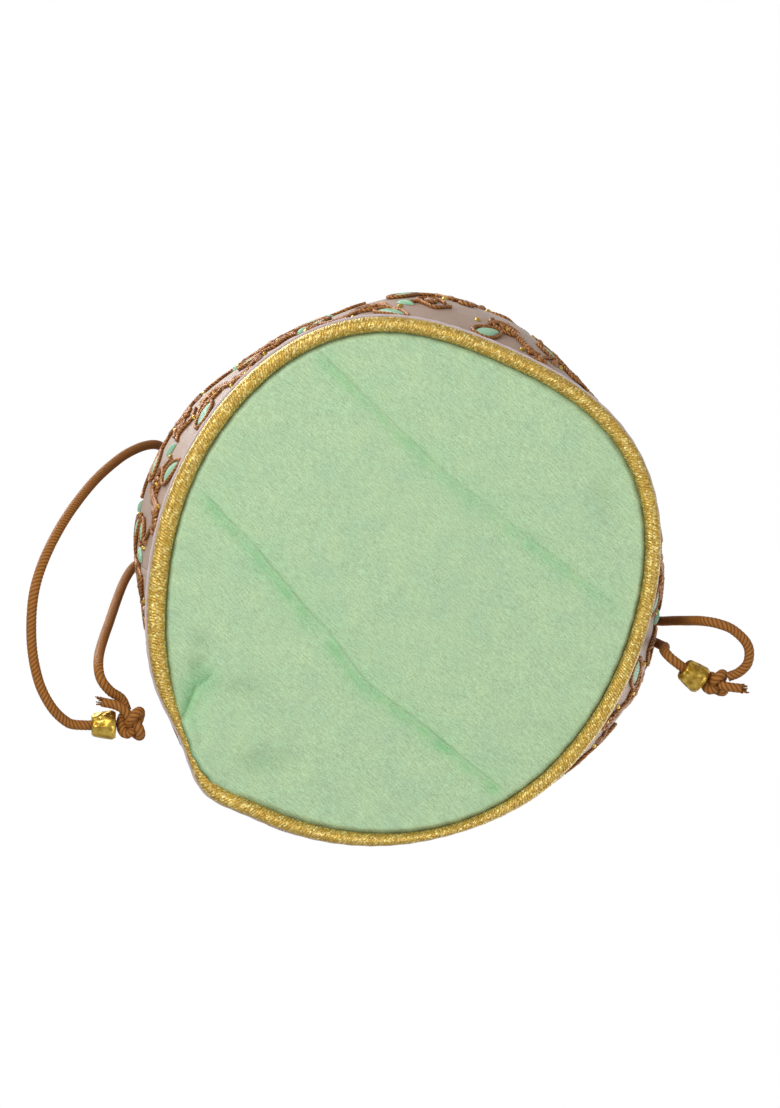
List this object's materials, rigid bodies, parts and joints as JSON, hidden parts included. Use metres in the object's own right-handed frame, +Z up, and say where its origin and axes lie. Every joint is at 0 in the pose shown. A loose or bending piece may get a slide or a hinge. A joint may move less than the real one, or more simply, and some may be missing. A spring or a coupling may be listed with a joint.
{
  "type": "drawstring gift sack",
  "caption": "Round-based silk gift sack with piped base, embroidered sides, lined gathered mouth and two opposed drawstrings that end in sliding beads and knots.",
  "frame": {"origin": "centre of the underside of the round base, on the surface that the sack stands on", "axes": "+Z up through the gathered mouth; +X to the drawstring exit with the smaller loop, -X to the exit with the larger loop"},
  "size_m": [0.1802, 0.1426, 0.1692],
  "materials": {
    "mint_silk": "slubbed dupion silk, soft sheen",
    "mint_lining": "plain woven lining, low sheen",
    "canvas": "stiffened cotton canvas, matte",
    "gold_metallic_cloth": "metallic-thread weave, glittering",
    "cotton_core": "spun cotton cord, matte",
    "satin": "pale satin, soft gloss",
    "champagne_silk": "champagne silk, soft sheen",
    "zari_cord": "couched copper metallic cord",
    "mint_floss": "satin stitch in glossy floss",
    "gold_sequin": "polished gold sequin",
    "gold_braid": "woven metallic braid",
    "gold_thread": "metallic thread",
    "cord": "twisted copper-brown cord, silky",
    "brass_bead": "faceted brass, worn polish"
  },
  "bodies": {
    "sack": {"base_panel": "mint_silk", "base_canvas": "canvas", "base_lining": "mint_lining", "base_piping": "gold_metallic_cloth", "piping_core": "cotton_core", "satin_edge": "satin", "front_panel": "champagne_silk", "back_panel": "champagne_silk", "left_side_seam": "champagne_silk", "right_side_seam": "champagne_silk", "wall_lining": "mint_lining", "zari_vines": "zari_cord", "leaf_patches": "mint_floss", "sequins": "gold_sequin", "shoulder_braid": "gold_braid", "shoulder_cloth": "mint_silk", "shoulder_lining": "mint_lining", "drawstring_casing": "mint_silk", "casing_stitching": "gold_thread", "left_eyelet": "zari_cord", "right_eyelet": "zari_cord", "frill": "mint_silk", "frill_lining": "mint_lining", "frill_edging": "gold_braid", "left_cord_ring": "cord", "right_cord_ring": "cord", "left_long_strand": "cord", "left_short_strand": "cord", "right_long_strand": "cord", "right_short_strand": "cord"},
    "left_toggle": {"left_knot": "cord"},
    "left_slider": {"left_bead": "brass_bead"},
    "right_toggle": {"right_knot": "cord"},
    "right_slider": {"right_bead": "brass_bead"}
  },
  "joints": [
    {"name": "left_pull", "type": "slide", "parent": "sack", "child": "left_toggle", "axis": [-1, 0, 0], "range_m": [0, 0.015], "deforming": ["left_long_strand", "left_short_strand"]},
    {"name": "left_bead_slide", "type": "slide", "parent": "left_toggle", "child": "left_slider", "axis": [-1, 0, 0], "range_m": [0, 0.0035]},
    {"name": "right_pull", "type": "slide", "parent": "sack", "child": "right_toggle", "axis": [1, 0, 0], "range_m": [0, 0.01], "deforming": ["right_long_strand", "right_short_strand"]},
    {"name": "right_bead_slide", "type": "slide", "parent": "right_toggle", "child": "right_slider", "axis": [-0.8191, -0.5736, 0], "range_m": [0, 0.0025]}
  ]
}
